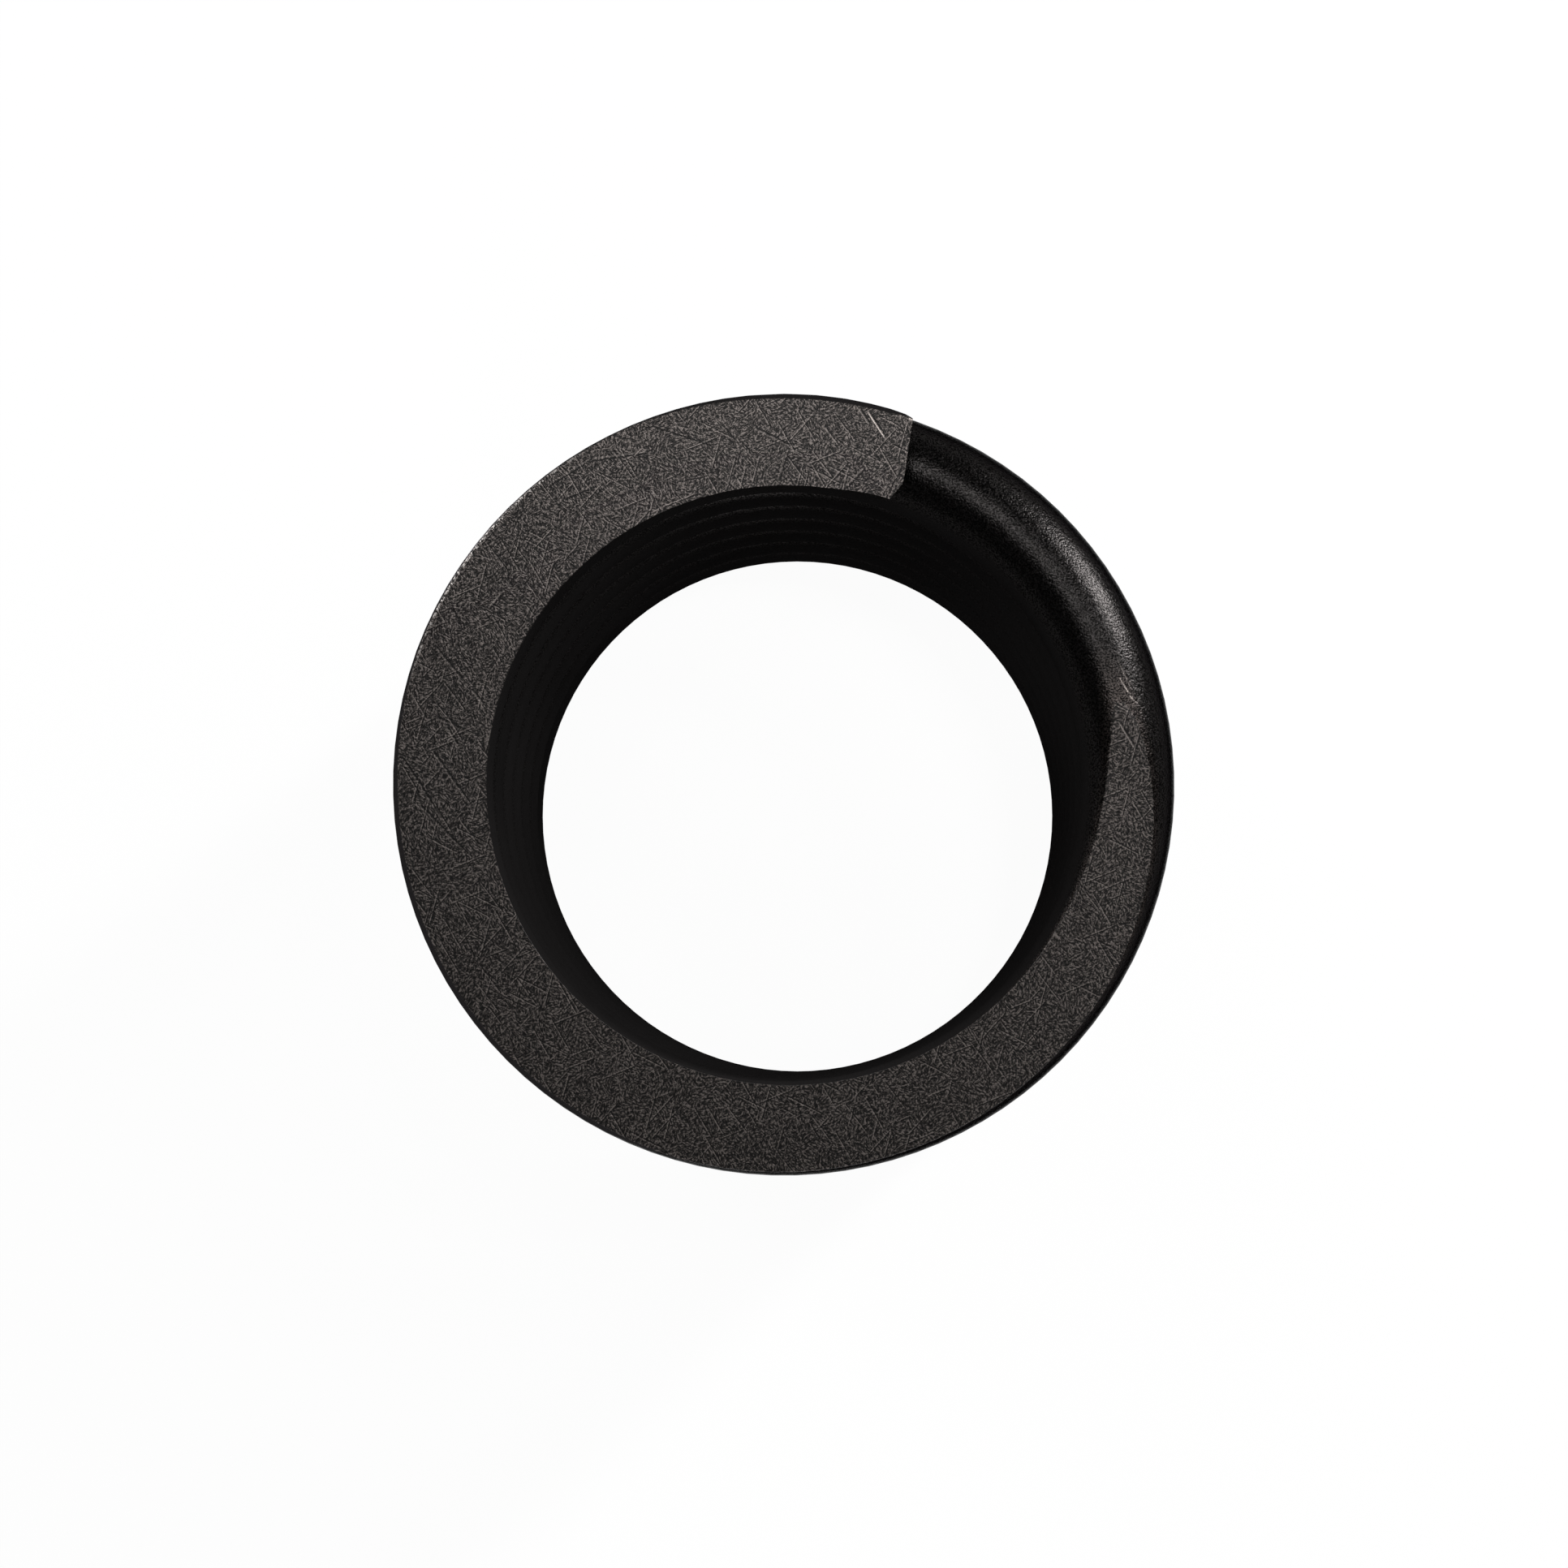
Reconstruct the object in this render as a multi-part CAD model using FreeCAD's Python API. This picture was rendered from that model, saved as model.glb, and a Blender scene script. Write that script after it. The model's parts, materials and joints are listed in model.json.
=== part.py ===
"""Helical compression spring: round wire, left-hand wound, both ends closed and ground flat.

The spring stands on its lower ground face at z = 0 with its axis on Z. All lengths are in
millimetres and all angles in degrees. One length of wire makes the whole spring. It is cut
at upright planes through the axis into quarter-turn spans, numbered down from the upper tip,
so that each span can sink by its own share when the spring is pressed. Spans of one coil
stand exactly above those of the next, so that they never meet before the coils do.
"""
import FreeCAD, Part

import math
import os

# Driving dimensions
WIRE_DIAMETER = 9.5
BORE_DIAMETER = 60.0
FREE_LENGTH = 150.0
TURNS = 7.686  # wire tip to wire tip
UPPER_TIP_ANGLE = 70.0  # from +X, counter-clockwise seen from above
CLOSED_ANGLE = 216.0  # part of each end turn that is wound close
TIP_GRIND_DEPTH = 6.36  # wire ground away at the very tip
TIP_CLEARANCE = 0.25  # between a wire tip and the coil it lies on
TIP_FLARE = 0.4  # how far each tip stands out from the coil
FLARE_HOLD_ANGLE = 8.0  # part of the wire at each tip with the whole flare
FLARE_END_ANGLE = 50.0  # where the wire has come in to the coil
OUTER_CHAMFER = 0.6  # on the outer edge of both ground faces
INNER_CHAMFER = 0.1  # on the inner edge of both ground faces

# How the wire is divided
SPANS_PER_COIL = 4
SECTIONS_PER_SPAN = 7
TRIM_MARGIN = 5.0  # how far the trimming solid stands outside the wire

# Worked out from the driving dimensions
WIRE_RADIUS = WIRE_DIAMETER / 2
COIL_RADIUS = BORE_DIAMETER / 2 + WIRE_RADIUS
OUTER_RADIUS = COIL_RADIUS + WIRE_RADIUS
END_TURN = 360.0
OPENING_ANGLE = END_TURN - CLOSED_ANGLE
WOUND_ANGLE = END_TURN * TURNS
TIP_HEIGHT = FREE_LENGTH + TIP_GRIND_DEPTH - WIRE_RADIUS  # wire centre at the upper tip
TIP_TO_TIP = 2 * TIP_HEIGHT - FREE_LENGTH
SPAN_ANGLE = 360.0 / SPANS_PER_COIL
SPAN_COUNT = math.ceil(WOUND_ANGLE / SPAN_ANGLE)
TIP_SPAN_ANGLE = (WOUND_ANGLE - SPAN_ANGLE * (SPAN_COUNT - 2)) / 2  # the two tips share the rest


def touching_pitch():
    """Pitch at which neighbouring coils of round wire would touch."""
    lead = math.asin(WIRE_DIAMETER / (2 * math.pi * COIL_RADIUS))
    return WIRE_DIAMETER / math.cos(lead)


END_DROP = touching_pitch() + TIP_CLEARANCE  # over one end turn
ACTIVE_PITCH = (TIP_TO_TIP - 2 * END_DROP) / (TURNS - 2)
CLOSED_PITCH = (END_DROP * END_TURN - ACTIVE_PITCH * OPENING_ANGLE / 2) / (
    CLOSED_ANGLE + OPENING_ANGLE / 2
)


def drop_from_tip(angle):
    """How far the wire has moved along the axis at this angle from its nearer tip.

    The pitch is CLOSED_PITCH at first, opens smoothly over OPENING_ANGLE to ACTIVE_PITCH
    at the end of the first turn, and stays there.
    """
    closed = CLOSED_PITCH * angle / END_TURN
    opened = min(max((angle - CLOSED_ANGLE) / OPENING_ANGLE, 0.0), 1.0)
    smooth = opened**3 - opened**4 / 2
    extra = (ACTIVE_PITCH - CLOSED_PITCH) * OPENING_ANGLE / END_TURN * smooth
    beyond = max(angle - END_TURN, 0.0) * (ACTIVE_PITCH - CLOSED_PITCH) / END_TURN
    return closed + extra + beyond


def wire_height(angle):
    """Height of the wire's centre, at an angle along the wire from the upper tip."""
    if angle <= WOUND_ANGLE / 2:
        return TIP_HEIGHT - drop_from_tip(angle)
    return FREE_LENGTH - TIP_HEIGHT + drop_from_tip(WOUND_ANGLE - angle)


def wire_distance(angle):
    """Distance of the wire's centre from the axis: the coil's radius, and more near each tip."""
    from_tip = min(angle, WOUND_ANGLE - angle)
    settled = (from_tip - FLARE_HOLD_ANGLE) / (FLARE_END_ANGLE - FLARE_HOLD_ANGLE)
    settled = min(max(settled, 0.0), 1.0)
    return COIL_RADIUS + TIP_FLARE * (1 - 3 * settled**2 + 2 * settled**3)


def wire_section(angle):
    """The round section of the wire, in the upright plane through the axis."""
    turn = math.radians(UPPER_TIP_ANGLE + angle)
    distance = wire_distance(angle)
    centre = FreeCAD.Vector(
        distance * math.cos(turn), distance * math.sin(turn), wire_height(angle)
    )
    along = FreeCAD.Vector(-math.sin(turn), math.cos(turn), 0)
    return Part.Wire(Part.makeCircle(WIRE_RADIUS, centre, along))


def wire_span(start, end):
    """The unground wire from one angle to another."""
    step = (end - start) / (SECTIONS_PER_SPAN - 1)
    sections = [wire_section(start + step * n) for n in range(SECTIONS_PER_SPAN)]
    return Part.makeLoft(sections, True, False)


def ground_envelope():
    """A ring as long as the spring, with the end chamfers. What stands outside it is ground off."""
    inside = BORE_DIAMETER / 2 - TRIM_MARGIN
    outside = OUTER_RADIUS + TRIM_MARGIN
    inner_edge = BORE_DIAMETER / 2 + INNER_CHAMFER
    outer_edge = OUTER_RADIUS - OUTER_CHAMFER
    inner_fall = inner_edge - inside
    outer_fall = outside - outer_edge
    half = [
        (inside, inner_fall),
        (inner_edge, 0),
        (outer_edge, 0),
        (outside, outer_fall),
    ]
    mirrored = [(radius, FREE_LENGTH - height) for radius, height in reversed(half)]
    corners = [FreeCAD.Vector(radius, 0, height) for radius, height in half + mirrored]
    outline = Part.makePolygon(corners + corners[:1])
    axis_foot = FreeCAD.Vector(0, 0, 0)
    return Part.Face(outline).revolve(axis_foot, FreeCAD.Vector(0, 0, 1), 360)


def reaches_an_end(span):
    """True where the wire comes near either ground face."""
    band = OUTER_CHAMFER + INNER_CHAMFER
    return span.BoundBox.ZMax > FREE_LENGTH - band or span.BoundBox.ZMin < band


def span_name(index):
    """Coils count down from the upper end, and quarters along each coil."""
    coil, quarter = divmod(index, SPANS_PER_COIL)
    return f"coil_{coil + 1}_quarter_{quarter + 1}"


def span_starts():
    """Angles along the wire where the spans begin, and where the last one ends."""
    inner = [TIP_SPAN_ANGLE + SPAN_ANGLE * n for n in range(SPAN_COUNT - 1)]
    return [0.0] + inner + [WOUND_ANGLE]


def make_spans():
    """Every span of the wire by name, from the upper tip to the lower tip."""
    envelope = ground_envelope()
    starts = span_starts()
    spans = {}
    for index in range(SPAN_COUNT):
        span = wire_span(starts[index], starts[index + 1])
        if reaches_an_end(span):
            span = span.common(envelope)
        spans[span_name(index)] = span.Solids[0]
    return spans


def main():
    os.makedirs("parts", exist_ok=True)
    for name, span in make_spans().items():
        span.exportStep(f"parts/{name}.step")


main()
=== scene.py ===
"""The looks of a black, left-hand helical compression spring with closed and ground ends.

The spring is one length of round wire. It is wound here as one mesh in place of the packed
quarter-turn spans. How far each point would sink when the spring is pressed is worked out,
but nothing here moves the wire. Lengths are in metres and angles in degrees. Angles along
the wire count from its upper tip.
"""
import json
import math

import bpy
import numpy as np
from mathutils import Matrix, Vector


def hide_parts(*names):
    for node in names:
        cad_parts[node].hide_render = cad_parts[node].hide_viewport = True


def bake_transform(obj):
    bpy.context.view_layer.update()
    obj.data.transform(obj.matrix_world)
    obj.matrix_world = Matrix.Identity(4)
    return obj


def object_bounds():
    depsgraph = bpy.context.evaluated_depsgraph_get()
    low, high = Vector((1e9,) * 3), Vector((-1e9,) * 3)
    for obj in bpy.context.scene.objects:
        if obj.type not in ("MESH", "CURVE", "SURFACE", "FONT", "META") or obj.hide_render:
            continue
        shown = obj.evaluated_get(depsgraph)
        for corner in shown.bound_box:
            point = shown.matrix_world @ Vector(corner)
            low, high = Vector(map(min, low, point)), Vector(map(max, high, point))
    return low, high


MM = 0.001

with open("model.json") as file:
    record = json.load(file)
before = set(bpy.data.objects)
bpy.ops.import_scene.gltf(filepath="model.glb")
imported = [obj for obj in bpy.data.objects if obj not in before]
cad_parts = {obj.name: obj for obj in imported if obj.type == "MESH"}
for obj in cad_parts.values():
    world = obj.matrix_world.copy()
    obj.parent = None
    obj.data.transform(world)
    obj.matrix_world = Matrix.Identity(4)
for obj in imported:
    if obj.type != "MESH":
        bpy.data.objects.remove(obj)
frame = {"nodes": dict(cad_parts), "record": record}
CAD_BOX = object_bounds()

# The spring's size, from the frame
MOUNTS = {mount["name"]: mount for mount in frame["record"]["mounts"]}
FREE_LENGTH = CAD_BOX[1].z - CAD_BOX[0].z
OUTER_RADIUS = (CAD_BOX[1].x - CAD_BOX[0].x) / 2
BORE_RADIUS = MOUNTS["locating_bore"]["dims"]["r_mm"] * MM
WIRE_RADIUS = (OUTER_RADIUS - BORE_RADIUS) / 2
COIL_RADIUS = (OUTER_RADIUS + BORE_RADIUS) / 2

# How the wire is wound and ground, as in the part's source
TURNS = 7.686
UPPER_TIP_ANGLE = 70.0
CLOSED_ANGLE = 216.0
TIP_GRIND_DEPTH = 6.36 * MM
TIP_CLEARANCE = 0.25 * MM
TIP_FLARE = 0.4 * MM
FLARE_HOLD_ANGLE = 8.0
FLARE_END_ANGLE = 50.0
OUTER_CHAMFER = 0.6 * MM
INNER_CHAMFER = 0.1 * MM
END_TURN = 360.0
OPENING_ANGLE = END_TURN - CLOSED_ANGLE
WOUND_ANGLE = END_TURN * TURNS
TIP_HEIGHT = FREE_LENGTH + TIP_GRIND_DEPTH - WIRE_RADIUS
SPAN_ANGLE = 90.0

# The cropped tips, which only the finished wire has
TIP_SLANT = 10.8  # of the cropped end, from square
TIP_REACH = 0.46 * MM  # of the middle of the cropped end, past a square one
TIP_CORNER = 2.4 * MM  # across the end's cut inner corner
TIP_CORNER_SLANT = 28.5
TIP_REACH_ANGLE = 8.0  # the wire is as wound beyond this
TIP_ROUNDING = 0.5 * MM  # of the end's outer corner
TIP_ROUNDING_ANGLE = 2.4
INNER_FLARE_ANGLE = 12.0  # the wire's inner side is back in line here

# The uneven break of the outer edges: share of the chamfer's width, at angles from the tip
EDGE_BREAKS = {0: 0.4, 4: 1, 22: 1, 42: 0.45, 90: 0.45, 112: 1, 170: 1, 200: 0.15}

# The mesh
AROUND_WIRE = 64
ALONG_WIRE = 768
BUNCHED_ANGLE = 25.2  # the wire's sections stand closer together up to here from its tips
TIP_SLACK = 1.0  # a point within this of a tip's angle belongs to the tip
RING_STEPS = 384
TRIM_MARGIN = 5 * MM  # by which the ring that trims the wire is wider on each side
SMOOTH_ANGLE = 30.0
NEAR = 0.01 * MM
ON_FLAT = 0.001 * MM
PLACE = "rest_place"


# ---- The wire ----


def touching_pitch():
    """Pitch at which neighbouring coils of round wire would touch."""
    lead = math.asin(WIRE_RADIUS / (math.pi * COIL_RADIUS))
    return 2 * WIRE_RADIUS / math.cos(lead)


END_DROP = touching_pitch() + TIP_CLEARANCE
ACTIVE_PITCH = (2 * TIP_HEIGHT - FREE_LENGTH - 2 * END_DROP) / (TURNS - 2)
CLOSED_PITCH = (END_DROP * END_TURN - ACTIVE_PITCH * OPENING_ANGLE / 2) / (
    CLOSED_ANGLE + OPENING_ANGLE / 2
)


def drop_from_tip(angle):
    """How far the wire has moved along the axis at these angles from its nearer tip."""
    opened = np.clip((angle - CLOSED_ANGLE) / OPENING_ANGLE, 0, 1)
    smooth = (opened**3 - opened**4 / 2) * OPENING_ANGLE
    beyond = np.maximum(angle - END_TURN, 0)
    return (CLOSED_PITCH * angle + (ACTIVE_PITCH - CLOSED_PITCH) * (smooth + beyond)) / END_TURN


def wire_height(angle):
    """Height of the wire's centre at angles along the wire."""
    upper = TIP_HEIGHT - drop_from_tip(angle)
    lower = FREE_LENGTH - TIP_HEIGHT + drop_from_tip(WOUND_ANGLE - angle)
    return np.where(angle < WOUND_ANGLE / 2, upper, lower)


def smooth_rise(value, low, high):
    """0 below low, 1 above high and a smooth rise between."""
    share = np.clip((value - low) / (high - low), 0, 1)
    return share**2 * (3 - 2 * share)


def flare(angle):
    """How far the wire stands out from the coil at angles along it."""
    from_tip = np.minimum(angle, WOUND_ANGLE - angle)
    return TIP_FLARE * (1 - smooth_rise(from_tip, FLARE_HOLD_ANGLE, FLARE_END_ANGLE))


def tip_spread(radius, angle):
    """How far points stand out from the coil. Cropping has spread the wire's ends."""
    from_tip = np.minimum(angle, WOUND_ANGLE - angle)
    inner = TIP_FLARE * (1 - smooth_rise(from_tip, 0, INNER_FLARE_ANGLE))
    outer = flare(angle) - TIP_ROUNDING * (1 - smooth_rise(from_tip, 0, TIP_ROUNDING_ANGLE))
    return inner + (outer - inner) * (radius - COIL_RADIUS + WIRE_RADIUS) / (2 * WIRE_RADIUS)


def crop_offset(radius, angle):
    """How far points near the tips lie past a square end, along the wire.

    The cropped end leans, and its inner corner is cut away.
    """
    outward = radius - COIL_RADIUS
    lean = TIP_REACH - outward * math.tan(math.radians(TIP_SLANT))
    into_corner = np.maximum(TIP_CORNER - WIRE_RADIUS - outward, 0)
    corner = into_corner * math.tan(math.radians(TIP_CORNER_SLANT))
    upper = 1 - smooth_rise(angle, 0, TIP_REACH_ANGLE)
    lower = 1 - smooth_rise(WOUND_ANGLE - angle, 0, TIP_REACH_ANGLE)
    return (lean - corner) * (lower - upper)


def places(mesh):
    """The mesh's points as an array of x, y, z."""
    found = np.empty(len(mesh.vertices) * 3)
    mesh.vertices.foreach_get("co", found)
    return found.reshape(-1, 3)


def put_places(mesh, radius, turned, height):
    """Moves the mesh's points to these radii, turns in radians and heights."""
    moved = np.stack([radius * np.cos(turned), radius * np.sin(turned), height], axis=1)
    mesh.vertices.foreach_set("co", moved.ravel())
    mesh.update()


def deselect():
    """Leaves no object selected."""
    bpy.ops.object.select_all(action="DESELECT")


def apply_modifier(piece, kind, **settings):
    """Adds one modifier with these settings and applies it."""
    modifier = piece.modifiers.new(kind.title(), kind)
    for name, value in settings.items():
        setattr(modifier, name, value)
    bpy.context.view_layer.objects.active = piece
    bpy.ops.object.modifier_apply(modifier=modifier.name)


def pick(piece, wanted, kind="EDGE"):
    """Selects the piece's edges or faces whose points are all wanted, and stays in edit mode."""
    bpy.ops.object.mode_set(mode="EDIT")
    bpy.ops.mesh.select_mode(type=kind)
    bpy.ops.mesh.select_all(action="DESELECT")
    bpy.ops.object.mode_set(mode="OBJECT")
    items = piece.data.edges if kind == "EDGE" else piece.data.polygons
    for item in items:
        item.select = all(wanted[number] for number in item.vertices)
    bpy.ops.object.mode_set(mode="EDIT")


def close_tips(wire):
    """Fills both ends of the tube with a grid of faces."""
    for section in (0, ALONG_WIRE):
        pick(wire, np.arange(len(wire.data.vertices)) // AROUND_WIRE == section)
        bpy.ops.mesh.fill_grid(span=AROUND_WIRE // 4)
        bpy.ops.object.mode_set(mode="OBJECT")
    bpy.ops.object.mode_set(mode="EDIT")
    bpy.ops.mesh.select_all(action="SELECT")
    bpy.ops.mesh.normals_make_consistent(inside=False)
    bpy.ops.object.mode_set(mode="OBJECT")


def section_angles(points):
    """Angle along the wire of each point of the flat tube: its sections in turn, then its tips."""
    angles = np.arange(len(points)) // AROUND_WIRE * (WOUND_ANGLE / ALONG_WIRE)
    tips = slice(AROUND_WIRE * (ALONG_WIRE + 1), None)
    turned = np.degrees(np.arctan2(points[tips, 1], points[tips, 0])) - UPPER_TIP_ANGLE
    angles[tips] = np.where(np.abs(turned) < TIP_SLACK, 0, WOUND_ANGLE)
    return angles


def drawn_to_tips(angles):
    """These angles along the wire, with those near a tip moved towards it."""
    from_tip = np.minimum(angles, WOUND_ANGLE - angles)
    moved = from_tip * (1 - np.sqrt(np.minimum(from_tip / BUNCHED_ANGLE, 1)))
    return np.where(angles < WOUND_ANGLE / 2, angles - moved, angles + moved)


def wind_wire():
    """The whole wire, unground: a circle turned round the axis, then spread to its pitch."""
    turn = math.radians(UPPER_TIP_ANGLE)
    deselect()
    bpy.ops.mesh.primitive_circle_add(
        vertices=AROUND_WIRE,
        radius=WIRE_RADIUS,
        location=(COIL_RADIUS * math.cos(turn), COIL_RADIUS * math.sin(turn), 0),
        rotation=(math.pi / 2, 0, turn),
    )
    wire = bpy.context.object
    wire.name = "spring_wire"
    bpy.ops.object.transform_apply()
    apply_modifier(
        wire,
        "SCREW",
        angle=math.radians(WOUND_ANGLE),
        steps=ALONG_WIRE,
        render_steps=ALONG_WIRE,
        screw_offset=0,
    )
    close_tips(wire)
    points = places(wire.data)
    along = drawn_to_tips(section_angles(points))
    radius = np.hypot(points[:, 0], points[:, 1])
    turned = np.radians(UPPER_TIP_ANGLE + along) + crop_offset(radius, along) / radius
    height = points[:, 2] + wire_height(along)
    put_places(wire.data, radius + tip_spread(radius, along), turned, height)
    return wire


def ground_envelope():
    """A ring as long as the spring, chamfered at both ends. What stands out of it is ground off."""
    inside = BORE_RADIUS - TRIM_MARGIN
    outside = OUTER_RADIUS + TRIM_MARGIN
    deselect()
    bpy.ops.mesh.primitive_cylinder_add(
        vertices=RING_STEPS,
        radius=outside,
        depth=FREE_LENGTH,
        location=(0, 0, FREE_LENGTH / 2),
    )
    ring = bpy.context.object
    bpy.ops.object.transform_apply()
    bpy.ops.object.mode_set(mode="EDIT")
    bpy.ops.mesh.select_mode(type="FACE")
    bpy.ops.mesh.select_face_by_sides(number=RING_STEPS, extend=False)
    bpy.ops.mesh.inset(thickness=outside - inside)
    bpy.ops.mesh.bridge_edge_loops()
    chamfer_corners(ring, outside, TRIM_MARGIN + OUTER_CHAMFER)
    chamfer_corners(ring, inside, TRIM_MARGIN + INNER_CHAMFER)
    bpy.ops.mesh.select_all(action="SELECT")
    bpy.ops.mesh.normals_make_consistent(inside=False)
    bpy.ops.object.mode_set(mode="OBJECT")
    break_edges_unevenly(ring)
    return ring


def chamfer_corners(ring, radius, width):
    """Chamfers both end corners of the ring at one radius, from edit mode to edit mode."""
    bpy.ops.object.mode_set(mode="OBJECT")
    for end in (0, FREE_LENGTH):
        points = places(ring.data)
        at_corner = np.abs(np.hypot(points[:, 0], points[:, 1]) - radius) < NEAR
        pick(ring, at_corner & (np.abs(points[:, 2] - end) < NEAR))
        bpy.ops.mesh.bevel(offset=width, segments=1)
        bpy.ops.object.mode_set(mode="OBJECT")
    bpy.ops.object.mode_set(mode="EDIT")


def break_edges_unevenly(ring):
    """Varies the width of the outer chamfers, as a break made by hand does."""
    points = places(ring.data)
    radius = np.hypot(points[:, 0], points[:, 1])
    azimuth = np.degrees(np.arctan2(points[:, 1], points[:, 0]))
    lower_tip = UPPER_TIP_ANGLE + WOUND_ANGLE
    from_upper = (azimuth - UPPER_TIP_ANGLE) % END_TURN
    from_lower = (lower_tip - azimuth) % END_TURN
    from_tip = np.where(points[:, 2] > FREE_LENGTH / 2, from_upper, from_lower)
    share = np.interp(from_tip, list(EDGE_BREAKS), list(EDGE_BREAKS.values()))
    on_edge = np.abs(radius - (OUTER_RADIUS - OUTER_CHAMFER)) < NEAR
    wanted = np.where(on_edge, OUTER_RADIUS - OUTER_CHAMFER * share, radius)
    put_places(ring.data, wanted, np.radians(azimuth), points[:, 2])


def grind_ends(wire):
    """Takes the wire down to the two flat ends."""
    ring = ground_envelope()
    apply_modifier(wire, "BOOLEAN", operation="INTERSECT", solver="EXACT", object=ring)
    bpy.data.objects.remove(ring)


def smooth_wire(wire):
    """Smooth faces, with a sharp edge round each ground flat."""
    deselect()
    wire.select_set(True)
    bpy.context.view_layer.objects.active = wire
    bpy.ops.object.shade_smooth_by_angle(angle=math.radians(SMOOTH_ANGLE))
    heights = places(wire.data)[:, 2]
    for end in (0, FREE_LENGTH):
        pick(wire, np.abs(heights - end) < ON_FLAT, kind="FACE")
        bpy.ops.mesh.region_to_loop()
        bpy.ops.mesh.mark_sharp()
    bpy.ops.object.mode_set(mode="OBJECT")


def angle_along(points):
    """Angle along the wire of points on or in it."""
    radius = np.hypot(points[:, 0], points[:, 1])
    turned = np.degrees(np.arctan2(points[:, 1], points[:, 0])) - UPPER_TIP_ANGLE
    first = (turned + TIP_SLACK) % END_TURN - TIP_SLACK
    choices = first + END_TURN * np.arange(math.ceil(TURNS) + 1)[:, None]
    outward = radius - COIL_RADIUS - flare(choices)
    upward = points[:, 2] - wire_height(choices)
    away = outward**2 + upward**2
    away[(choices < -TIP_SLACK) | (choices > WOUND_ANGLE + TIP_SLACK)] = np.inf
    return np.take_along_axis(choices, away.argmin(axis=0)[None], axis=0)[0]


def sink_shares(angles):
    """The share of the upper end's travel at angles along the wire, as the spans' joints say."""
    couplings = frame["record"]["behaviour"]["couplings"]
    ratios = [1.0] + [coupling["ratio"] for coupling in couplings] + [0.0]
    first = WOUND_ANGLE / 2 - SPAN_ANGLE * (len(ratios) - 1) / 2
    middles = first + SPAN_ANGLE * np.arange(len(ratios))
    return np.interp(angles, middles, ratios)


def keep_rest_place(wire):
    """Stores where each point is at rest, so that the finish stays put as the spring is pressed."""
    attribute = wire.data.attributes.new(PLACE, "FLOAT_VECTOR", "POINT")
    attribute.data.foreach_set("vector", places(wire.data).ravel())


def make_wire():
    """The finished wire, in place of all the spans. How far its points would sink as the spans do
    is worked out but not used.
    """
    wire = wind_wire()
    grind_ends(wire)
    smooth_wire(wire)
    keep_rest_place(wire)
    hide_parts(*frame["nodes"])
    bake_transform(wire)
    shares = sink_shares(angle_along(places(wire.data)))
    return wire


# ---- Materials ----


class Value:
    """A node's output. Operators on it add Math nodes to its tree."""

    def __init__(self, tree, output):
        self.tree = tree
        self.output = output

    def other(self, name):
        """Another output of the same node."""
        return Value(self.tree, self.output.node.outputs[name])

    def maths(self, operation, *operands):
        """A Math node of this kind."""
        return self.tree.node("ShaderNodeMath", {"operation": operation}, *operands)

    def __add__(self, other):
        return self.maths("ADD", self, other)

    def __sub__(self, other):
        return self.maths("SUBTRACT", self, other)

    def __rsub__(self, other):
        return self.maths("SUBTRACT", other, self)

    def __mul__(self, other):
        return self.maths("MULTIPLY", self, other)

    def __truediv__(self, other):
        return self.maths("DIVIDE", self, other)

    def __pow__(self, other):
        return self.maths("POWER", self, other)

    def __abs__(self):
        return self.maths("ABSOLUTE", self)

    def least(self, other):
        return self.maths("MINIMUM", self, other)

    def most(self, other):
        return self.maths("MAXIMUM", self, other)

    def steps(self, low, high):
        """0 below low and 1 above high, with a smooth rise between. High may be the lower one."""
        settings = {"interpolation_type": "SMOOTHSTEP"}
        return self.tree.node("ShaderNodeMapRange", settings, self, low, high, 0.0, 1.0)


class Tree:
    """The nodes of one material or of the world."""

    def __init__(self, owner):
        owner.use_nodes = True
        self.nodes = owner.node_tree.nodes
        self.links = owner.node_tree.links
        self.nodes.clear()

    def node(self, kind, settings=None, *inputs, output=0, **named):
        """Adds a node, sets it up, then gives its sockets values or links, in order or by name."""
        made = self.nodes.new(kind)
        for name, value in (settings or {}).items():
            setattr(made, name, value)
        sockets = {socket.identifier.replace(" ", "_"): socket for socket in made.inputs}
        by_name = [(sockets[name], value) for name, value in named.items()]
        for socket, value in [*zip(made.inputs, inputs), *by_name]:
            if isinstance(value, Value):
                self.links.new(value.output, socket)
            else:
                socket.default_value = value
        return Value(self, made.outputs[output]) if made.outputs else None

    def vector(self, operation, *inputs):
        """A Vector Math node of this kind."""
        return self.node("ShaderNodeVectorMath", {"operation": operation}, *inputs)

    def mix(self, amount, first, second):
        """A colour between two colours."""
        settings = {"data_type": "RGBA"}
        colours = {"Factor_Float": amount, "A_Color": first, "B_Color": second}
        return self.node("ShaderNodeMix", settings, output=2, **colours)

    def noise(self, place, size, detail=1.0, dimensions="3D"):
        """Soft noise with features of this size, from 0 to 1."""
        settings = {"noise_dimensions": dimensions}
        scale = 1 / size
        return self.node("ShaderNodeTexNoise", settings, Vector=place, Scale=scale, Detail=detail)

    def moved(self, place, number):
        """The place, moved far enough that a pattern there has nothing in common with this one."""
        return self.vector("ADD", place, (number * 0.31, number * 0.17, number * 0.23))

    def in_box(self, place, middle, heading, length, width):
        """Place in a flat box of this length and width, from -1 to 1 across it both ways."""
        turn = (0, 0, math.radians(heading))
        size = (length / 2, width / 2, 1)
        settings = {"vector_type": "TEXTURE"}
        return self.node("ShaderNodeMapping", settings, place, (*middle, 0), turn, size)

    def axes(self, place):
        """The x, y and z of a place."""
        split = self.node("ShaderNodeSeparateXYZ", None, place)
        return [split.other(axis) for axis in "XYZ"]

    def bump(self, height, distance):
        """The normal of a surface raised by this height times this distance."""
        return self.node("ShaderNodeBump", Strength=1.0, Distance=distance, Height=height)


def grey(level):
    """This much of all three colours."""
    return (level, level, level, 1)


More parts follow.
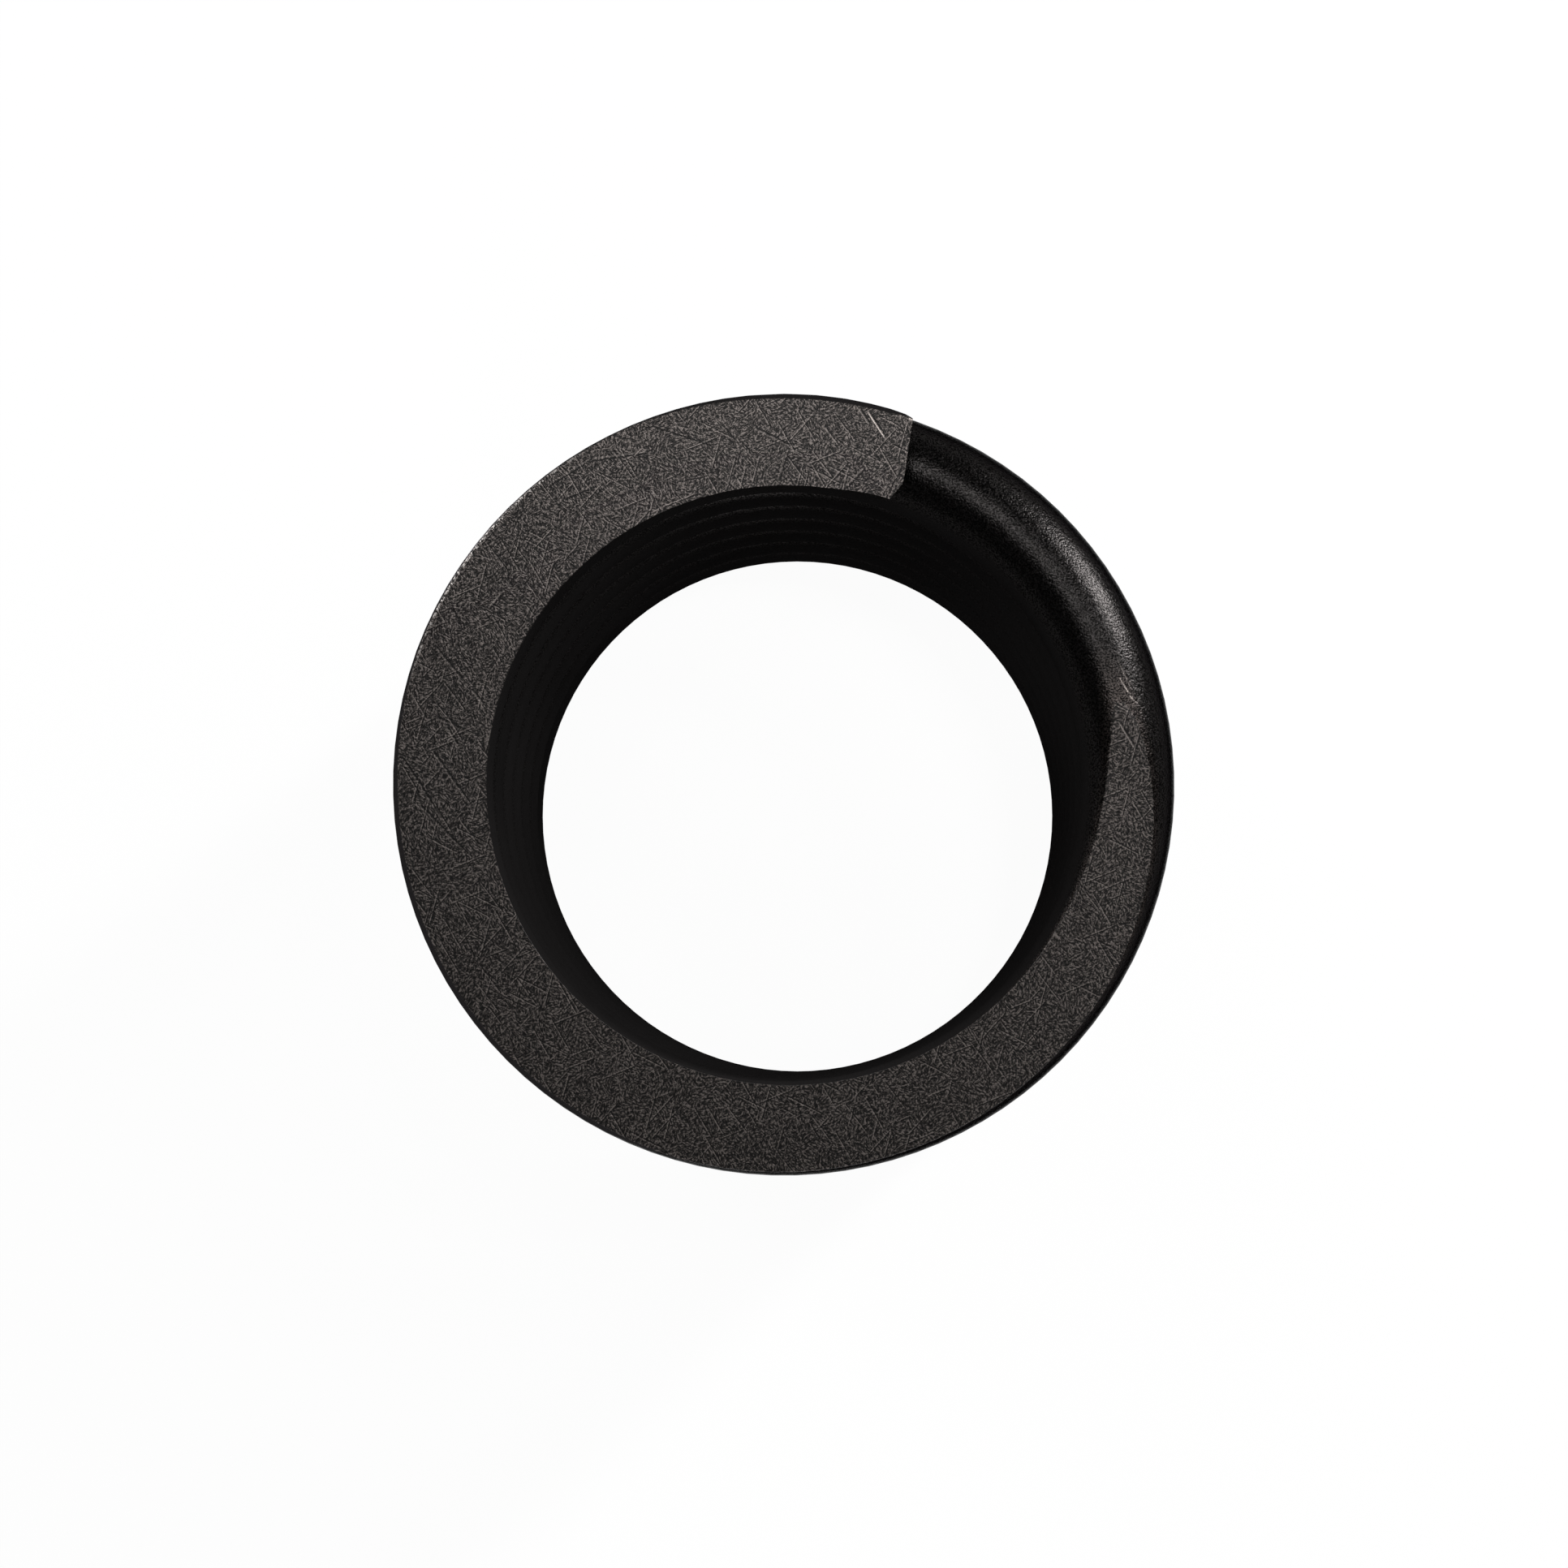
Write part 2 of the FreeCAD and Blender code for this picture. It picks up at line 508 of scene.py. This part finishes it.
# The black coat. Pairs say where a change starts and where it is complete.
COAT_COLOUR = (0.0182, 0.0169, 0.0166, 1)
# painted shade: the coat is darker in the hollows of its fine peel
COAT_HOLLOW_SHADE = (0.0035, 0.0033, 0.0032, 1)
RUBBED_COLOUR = (0.0340, 0.0290, 0.0270, 1)
# painted sheen: the wire's outer flank is lighter and cooler than the rest of the coat
FLANK_SHEEN_COLOUR = (0.0175, 0.0165, 0.0168, 1)
# painted shade: the side of the wire that faces the bore is matte, dark and does not reflect
BORE_SHADE_COLOUR = (0.0078, 0.0073, 0.0073, 1)
COAT_EDGE = grey(0.36)
RUBBED_HEIGHTS = (0.7 * MM, 0.0)  # from the ground ends
FLANK_SHEEN_RADII = (COIL_RADIUS + 0.72 * WIRE_RADIUS, COIL_RADIUS + 0.88 * WIRE_RADIUS)
BORE_SHADE_RADII = (COIL_RADIUS - 0.72 * WIRE_RADIUS, COIL_RADIUS - 0.90 * WIRE_RADIUS)
COAT_ROUGHNESS = 0.12
PEEL_ROUGHNESS = 0.3
PEEL_SIZE = 0.30 * MM
FINE_PEEL_SIZE = 0.15 * MM
FINE_PEEL_SHARE = 0.5
HOLLOW_SHADE_LEVELS = (0.32, 0.68)
PEEL_DEPTH = 0.03 * MM

# The ground steel
STEEL_DARK = (0.0018, 0.0016, 0.0015, 1)
STEEL_BRIGHT = (0.0750, 0.0652, 0.0605, 1)
# painted highlight on the edges of scratches
SCRATCH_GLINT = (0.2200, 0.1950, 0.1800, 1)
# painted glint on the rubbed rim
EDGE_GLINT = (0.2200, 0.2050, 0.1950, 1)
STEEL_METALLIC = 0.85
STEEL_ROUGHNESS = 0.33
GRAIN_DEPTH = 0.014 * MM
GRAIN_LAYERS = (
    # (patch of one heading, stroke's length, stroke's width, weight)
    (1.1 * MM, 0.42 * MM, 0.165 * MM, 1.35),
    (0.8 * MM, 0.30 * MM, 0.15 * MM, 1.0),
    (2.4 * MM, 1.10 * MM, 0.16 * MM, 0.65),
)
BLOTCH_SIZE = 5 * MM
STEEL_OVERREACH = 0.14 * MM  # by which bare steel reaches past the flat, at most
STEEL_LIMIT = 0.01 * MM  # half the width of the change from steel to coat

# How bright the steel is, from dark at 0 to bright at 1, and by how much each thing changes it
STEEL_LEVEL = 0.52
STEEL_LEVEL_MOST = 1.3
STEEL_LEVEL_POWER = 2.6
GRAIN_WEIGHT = 1.45
BLOTCH_WEIGHT = 0.2
# the faint scratches' painted highlights and painted shade
FAINT_WEIGHT = 0.85
# painted shade in the deep scratches' grooves
GROOVE_SHADE_WEIGHT = 0.8

# The rim that is rubbed to bare steel, painted with glints where the left lamp catches it
WORN_GLINT_RADII = (OUTER_RADIUS - 0.50 * MM, OUTER_RADIUS - 0.38 * MM)
WORN_GLINT_X = (-19 * MM, -26 * MM)
WORN_GLINT_Y = (9 * MM, 15 * MM)
WORN_GLINT_HEIGHTS = (0.08 * MM, 0.04 * MM)  # from the ground ends
WORN_GLINT_SPOT_SIZE = 0.32 * MM
WORN_GLINT_SPOT_LEVELS = (0.50, 0.58)

# The faint scratches, which are scattered over the steel. They are drawn in colour only: painted
# highlights on their edges and painted shade in their grooves
FAINT_LENGTH = 4 * MM
FAINT_WIDTH = 0.26 * MM
FAINT_SHARE = 0.2  # of the space between scratches that one takes up
FAINT_EDGE = 0.7
FAINT_SHINE = 0.12
FAINT_PATCH_SIZE = 5 * MM
FAINT_PATCH_LEVELS = (0.38, 0.54)
FAINT_HEADINGS = (22, 48, 75, 120, 127, 153)  # from +X

# The deeper scratches, drawn in colour only: painted highlights on their edges and painted shade in
# their grooves
DEEP_WIDTH = 0.42 * MM
DEEP_SCRATCHES = (
    # (x mm, y mm, heading from +X, length mm, how strong the painted highlight on its edge is) on
    # the upper end
    (9.4, 36.3, 123, 3.4, 1.0),
    (8.1, 37.2, 123, 2.2, 0.3),
    # not a scratch: a painted glint on the outer corner of the upper tip
    (12.9, 36.9, 155, 0.6, 1.0),
    (34.4, 11.2, 115, 3.2, 0.5),
    (34.4, 10.0, 120, 2.0, 0.6),
    (35.3, 8.6, 137, 1.2, 0.7),
    (34.6, 5.0, 121, 3.3, 0.4),
    (-1.0, 35.0, 153, 4.4, 0.1),
    (-0.1, 32.1, 73, 3.8, 0.1),
    (7.2, 30.9, 46, 3.0, 0.2),
    (11.3, 31.0, 61, 2.8, 0.1),
    (-10.4, 35.1, 162, 7.0, 0.05),
    (-16.7, 33.1, 8, 6.0, 0.15),
    (-21.9, 31.3, 31, 4.8, 0.1),
    (-20.3, 29.6, 23, 3.8, 0.1),
    (-29.1, 18.5, 49, 2.2, 0.3),
    (-33.1, 16.9, 114, 3.0, 0.0),
    (-33.8, 12.2, 129, 4.5, 0.15),
    (-30.9, 8.8, 130, 1.9, 0.25),
    (-33.2, 5.9, 155, 5.4, 0.1),
    (-33.4, 4.8, 121, 2.4, 0.2),
    (-33.5, 0.6, 125, 7.2, 0.15),
    (-36.3, -0.7, 123, 8.0, 0.1),
    (-34.5, -4.4, 134, 7.5, 0.1),
)


def brushed_grain(tree, place, number, patch, length, width):
    """Short strokes of this length and width, whose heading changes from patch to patch."""
    away = tree.moved(place, number)
    settings = {"voronoi_dimensions": "2D"}
    middle = tree.node("ShaderNodeTexVoronoi", settings, output=2, Vector=away, Scale=1 / patch)
    heading = tree.node("ShaderNodeTexWhiteNoise", None, middle)
    settings = {"rotation_type": "Z_AXIS"}
    turned = tree.node("ShaderNodeVectorRotate", settings, Vector=away, Angle=heading * math.pi)
    drawn = tree.vector("MULTIPLY", turned, (1 / length, 1 / width, 0))
    return tree.noise(drawn, 1.0, dimensions="2D") - 0.5


def grinding_grain(tree, place):
    """The dense grain of the ground steel, from about -1 to 1."""
    total = 0.0
    for number, (patch, length, width, weight) in enumerate(GRAIN_LAYERS, start=1):
        total = brushed_grain(tree, place, number, patch, length, width) * weight + total
    return total


def across_scratch(along, across):
    """The painted highlight on a scratch's raised edge and the painted shade in its groove, in a
    box that goes from -1 to 1.

    The edge is in the box's upper half and the groove in its lower half. Both fade out towards
    the box's ends.
    """
    within = along.steps(1.0, 0.7)
    edge = across.steps(0.0, 0.5) * across.steps(1.0, 0.6) * within
    groove = across.steps(0.0, -0.5) * across.steps(-1.0, -0.6) * within
    return edge, groove


def scattered_scratches(tree, place):
    """Many faint straight scratches in patches: above 0 on their edges, for painted highlights, and
    below it in them, for painted shade.
    """
    length, width = FAINT_LENGTH / FAINT_SHARE, FAINT_WIDTH / FAINT_SHARE
    total = 0.0
    for number, heading in enumerate(FAINT_HEADINGS):
        away = tree.moved(place, number)
        drawn = tree.in_box(away, (0, 0), heading, length, width)
        settings = {"voronoi_dimensions": "2D"}
        nearest = tree.node("ShaderNodeTexVoronoi", settings, Vector=drawn, Scale=0.5)
        along, across, _ = tree.axes(tree.vector("SUBTRACT", drawn, nearest.other("Position")))
        edge, groove = across_scratch(abs(along / FAINT_SHARE), across / FAINT_SHARE)
        patches = tree.noise(away, FAINT_PATCH_SIZE).steps(*FAINT_PATCH_LEVELS)
        total = (edge * FAINT_EDGE - groove) * patches + total
    return total


def deep_scratches(tree, place):
    """The few scratches that stand out: the painted highlights on their edges, and the painted
    shade in their grooves.
    """
    scratch_glint, groove_shade = 0.0, 0.0
    for x, y, heading, length, shine in DEEP_SCRATCHES:
        drawn = tree.in_box(place, (x * MM, y * MM), heading, length * MM, DEEP_WIDTH)
        along, across, _ = tree.axes(drawn)
        edge, groove = across_scratch(abs(along), across)
        scratch_glint, groove_shade = edge * shine + scratch_glint, groove + groove_shade
    return scratch_glint, groove_shade


def worn_rim_glints(tree, place, x, y, radius):
    """Bare steel spots along one part of the outer edge, painted as glints."""
    spots = tree.noise(place, WORN_GLINT_SPOT_SIZE, detail=2.0)
    rim = radius.steps(*WORN_GLINT_RADII) * y.steps(*WORN_GLINT_Y) * x.steps(*WORN_GLINT_X)
    return rim * spots.steps(*WORN_GLINT_SPOT_LEVELS)


def ground_steel(tree, place, scratch_glint, groove_shade, worn_glint):
    """Brushed and scratched steel. The three arguments after place are the painted highlights on
    the deeper scratches' edges, the painted shade in their grooves, and the rim rubbed to bare
    steel with its painted glints.
    """
    grain = grinding_grain(tree, place)
    lines = scattered_scratches(tree, place)
    blotches = tree.noise(place, BLOTCH_SIZE, detail=3.0) - 0.5
    # the faint scratches add painted highlights and painted shade
    level = grain * GRAIN_WEIGHT + blotches * BLOTCH_WEIGHT + lines * FAINT_WEIGHT
    # painted shade in the deep scratches' grooves
    level = level - groove_shade * GROOVE_SHADE_WEIGHT + STEEL_LEVEL
    level = level.most(0.0).least(STEEL_LEVEL_MOST) ** STEEL_LEVEL_POWER
    colour = tree.mix(level, STEEL_DARK, STEEL_BRIGHT)
    # painted highlights on the scratches' edges
    colour = tree.mix(lines.most(0.0) * FAINT_SHINE + scratch_glint, colour, SCRATCH_GLINT)
    return tree.node(
        "ShaderNodeBsdfPrincipled",
        # painted glints on the rubbed rim
        Base_Color=tree.mix(worn_glint, colour, EDGE_GLINT),
        Metallic=STEEL_METALLIC,
        Roughness=STEEL_ROUGHNESS,
        Normal=tree.bump(grain, GRAIN_DEPTH),
    )


def black_coat(tree, place, radius, below_end, peel, scratch_glint):
    """Semi-gloss black with a fine orange peel, rubbed and scratched beside the ground ends. It has
    painted shade in the peel's hollows, a painted sheen on its outer flank, painted highlights on
    its scratches and a matte painted shade on the side that faces the bore.
    """
    # the side facing the bore gets a matte painted shade
    shaded_bore_side = radius.steps(*BORE_SHADE_RADII)
    rubbed = below_end.steps(*RUBBED_HEIGHTS)
    fine = tree.noise(place, FINE_PEEL_SIZE, detail=0.0)
    colour = tree.mix(rubbed, COAT_COLOUR, RUBBED_COLOUR)
    # painted shade in the hollows of the fine peel
    colour = tree.mix(fine.steps(*HOLLOW_SHADE_LEVELS), COAT_HOLLOW_SHADE, colour)
    # painted sheen on the outer flank
    colour = tree.mix(radius.steps(*FLANK_SHEEN_RADII), colour, FLANK_SHEEN_COLOUR)
    # painted highlights of the deep scratches where they cross the rubbed coat
    colour = tree.mix(rubbed * scratch_glint, colour, SCRATCH_GLINT)
    return tree.node(
        "ShaderNodeBsdfPrincipled",
        Base_Color=tree.mix(shaded_bore_side, colour, BORE_SHADE_COLOUR),
        Metallic=1 - shaded_bore_side,
        Roughness=peel * PEEL_ROUGHNESS + COAT_ROUGHNESS,
        Specular_IOR_Level=0.0,
        Specular_Tint=COAT_EDGE,
        Normal=tree.bump(peel + fine * FINE_PEEL_SHARE, PEEL_DEPTH),
    )


def paint_wire(wire):
    """One finish for the whole wire: semi-gloss black, and bare steel on the ground ends."""
    material = bpy.data.materials.new("spring_finish")
    tree = Tree(material)
    settings = {"attribute_name": PLACE, "attribute_type": "GEOMETRY"}
    place = tree.node("ShaderNodeAttribute", settings, output=1)
    x, y, z = tree.axes(place)
    radius = (x * x + y * y) ** 0.5
    below_end = z.least(FREE_LENGTH - z)

    # the rim rubbed to bare steel, with painted glints
    worn_glint = worn_rim_glints(tree, place, x, y, radius) * below_end.steps(*WORN_GLINT_HEIGHTS)
    on_upper = z.steps(FREE_LENGTH / 2, FREE_LENGTH)
    # painted highlights and painted shade of the deep scratches, on the upper end only
    scratch_glint, groove_shade = (part * on_upper for part in deep_scratches(tree, place))
    steel = ground_steel(tree, place, scratch_glint, groove_shade, worn_glint)
    peel = tree.noise(place, PEEL_SIZE)
    coat = black_coat(tree, place, radius, below_end, peel, scratch_glint)
    flat = (below_end - peel * STEEL_OVERREACH).steps(STEEL_LIMIT, -STEEL_LIMIT)
    both = tree.node("ShaderNodeMixShader", None, flat.most(worn_glint), coat, steel)
    tree.node("ShaderNodeOutputMaterial", None, both)
    wire.data.materials.clear()
    wire.data.materials.append(material)


# ---- Floor, backdrop, light and camera ----

BACKDROP_RADIUS = 2.4
BACKDROP_HEIGHT = 0.6
BACKDROP_STEPS = 128
FLOOR_SIDE = 2.2 * BACKDROP_RADIUS
PAPER_COLOUR = grey(0.8)
WHITE_SHARE = 0.96  # of the paper's looks. The rest shows shadows.
AMBIENT = grey(0.16)
LAMPS = {
    # name: (azimuth, lean from the spring's axis, distance, width, height, watts)
    "near_softbox": (95, 21, 0.215, 0.075, 0.075, 0.125),
    "right_softbox": (25, 28, 0.40, 0.12, 0.12, 0.43),
    "right_strip": (40, 68, 0.60, 0.06, 0.36, 5.6),
    "left_strip": (140, 86, 0.60, 0.10, 0.20, 2.0),
    "overhead_softbox": (0, 0, 0.60, 0.30, 0.30, 0.27),
    "front_strip": (268, 80, 0.60, 0.10, 0.30, 1.6),
}
CAMERA_LENS = 199.6  # in millimetres
CAMERA_DISTANCE = 0.8767  # from the centre of the upper end
CAMERA_TILT_BACK = 1.463
CAMERA_TILT_RIGHT = 0.588


def white_paper():
    """Shows as plain white, also in metal and through glass, and keeps the object's shadow."""
    material = bpy.data.materials.new("white_paper")
    tree = Tree(material)
    matte = tree.node("ShaderNodeBsdfDiffuse", None, Color=PAPER_COLOUR)
    white = tree.node("ShaderNodeEmission", None, Color=grey(1.0), Strength=1.0)
    path = tree.node("ShaderNodeLightPath")
    seen = path.other("Is Camera Ray").most(path.other("Is Glossy Ray"))
    seen = seen.most(path.other("Is Transmission Ray"))
    both = tree.node("ShaderNodeMixShader", None, seen * WHITE_SHARE, matte, white)
    tree.node("ShaderNodeOutputMaterial", None, both)
    return material


def make_stage():
    """A wide floor of white paper, and a low backdrop of it all round."""
    paper = white_paper()
    floor_height = CAD_BOX[0].z
    deselect()
    bpy.ops.mesh.primitive_plane_add(size=FLOOR_SIDE, location=(0, 0, floor_height))
    finish_stage("floor", paper)
    bpy.ops.mesh.primitive_cylinder_add(
        vertices=BACKDROP_STEPS,
        radius=BACKDROP_RADIUS,
        depth=BACKDROP_HEIGHT,
        end_fill_type="NOTHING",
        location=(0, 0, floor_height + BACKDROP_HEIGHT / 2),
    )
    finish_stage("backdrop", paper)


def finish_stage(name, material):
    """Names the object just added and gives it its material."""
    piece = bpy.context.object
    piece.name = name
    bpy.ops.object.transform_apply()
    piece.data.materials.append(material)


def light_world():
    """The dim light of the room."""
    world = bpy.data.worlds.new("studio")
    bpy.context.scene.world = world
    tree = Tree(world)
    light = tree.node("ShaderNodeBackground", None, AMBIENT, 1.0)
    tree.node("ShaderNodeOutputWorld", None, light)


def off_axis(azimuth, lean, distance):
    """A vector from the upper end's centre, leaning from the axis towards an azimuth."""
    turn, tilt = math.radians(azimuth), math.radians(lean)
    across = math.sin(tilt)
    return Vector((across * math.cos(turn), across * math.sin(turn), math.cos(tilt))) * distance


def hang_lamps():
    """Soft lamps that face the centre of the upper end."""
    target = Vector((0, 0, FREE_LENGTH))
    for name, (azimuth, lean, distance, width, height, watts) in LAMPS.items():
        lamp = bpy.data.lights.new(name, "AREA")
        lamp.shape = "RECTANGLE"
        lamp.size, lamp.size_y = width, height
        lamp.energy = watts
        holder = bpy.data.objects.new(name, lamp)
        reach = off_axis(azimuth, lean, distance)
        holder.location = target + reach
        holder.rotation_euler = reach.to_track_quat("Z", "Y").to_euler()
        bpy.context.scene.collection.objects.link(holder)


def place_camera():
    """Looks down on the upper end, almost along the axis."""
    camera = bpy.data.cameras.new("camera")
    camera.lens = CAMERA_LENS
    holder = bpy.data.objects.new("camera", camera)
    holder.rotation_euler = (math.radians(CAMERA_TILT_BACK), math.radians(CAMERA_TILT_RIGHT), 0)
    back = holder.rotation_euler.to_matrix() @ Vector((0, 0, 1))
    holder.location = Vector((0, 0, FREE_LENGTH)) + back * CAMERA_DISTANCE
    bpy.context.scene.collection.objects.link(holder)
    bpy.context.scene.camera = holder


place_camera()
paint_wire(make_wire())
make_stage()
light_world()
hang_lamps()
bpy.context.scene.view_settings.view_transform = "Standard"
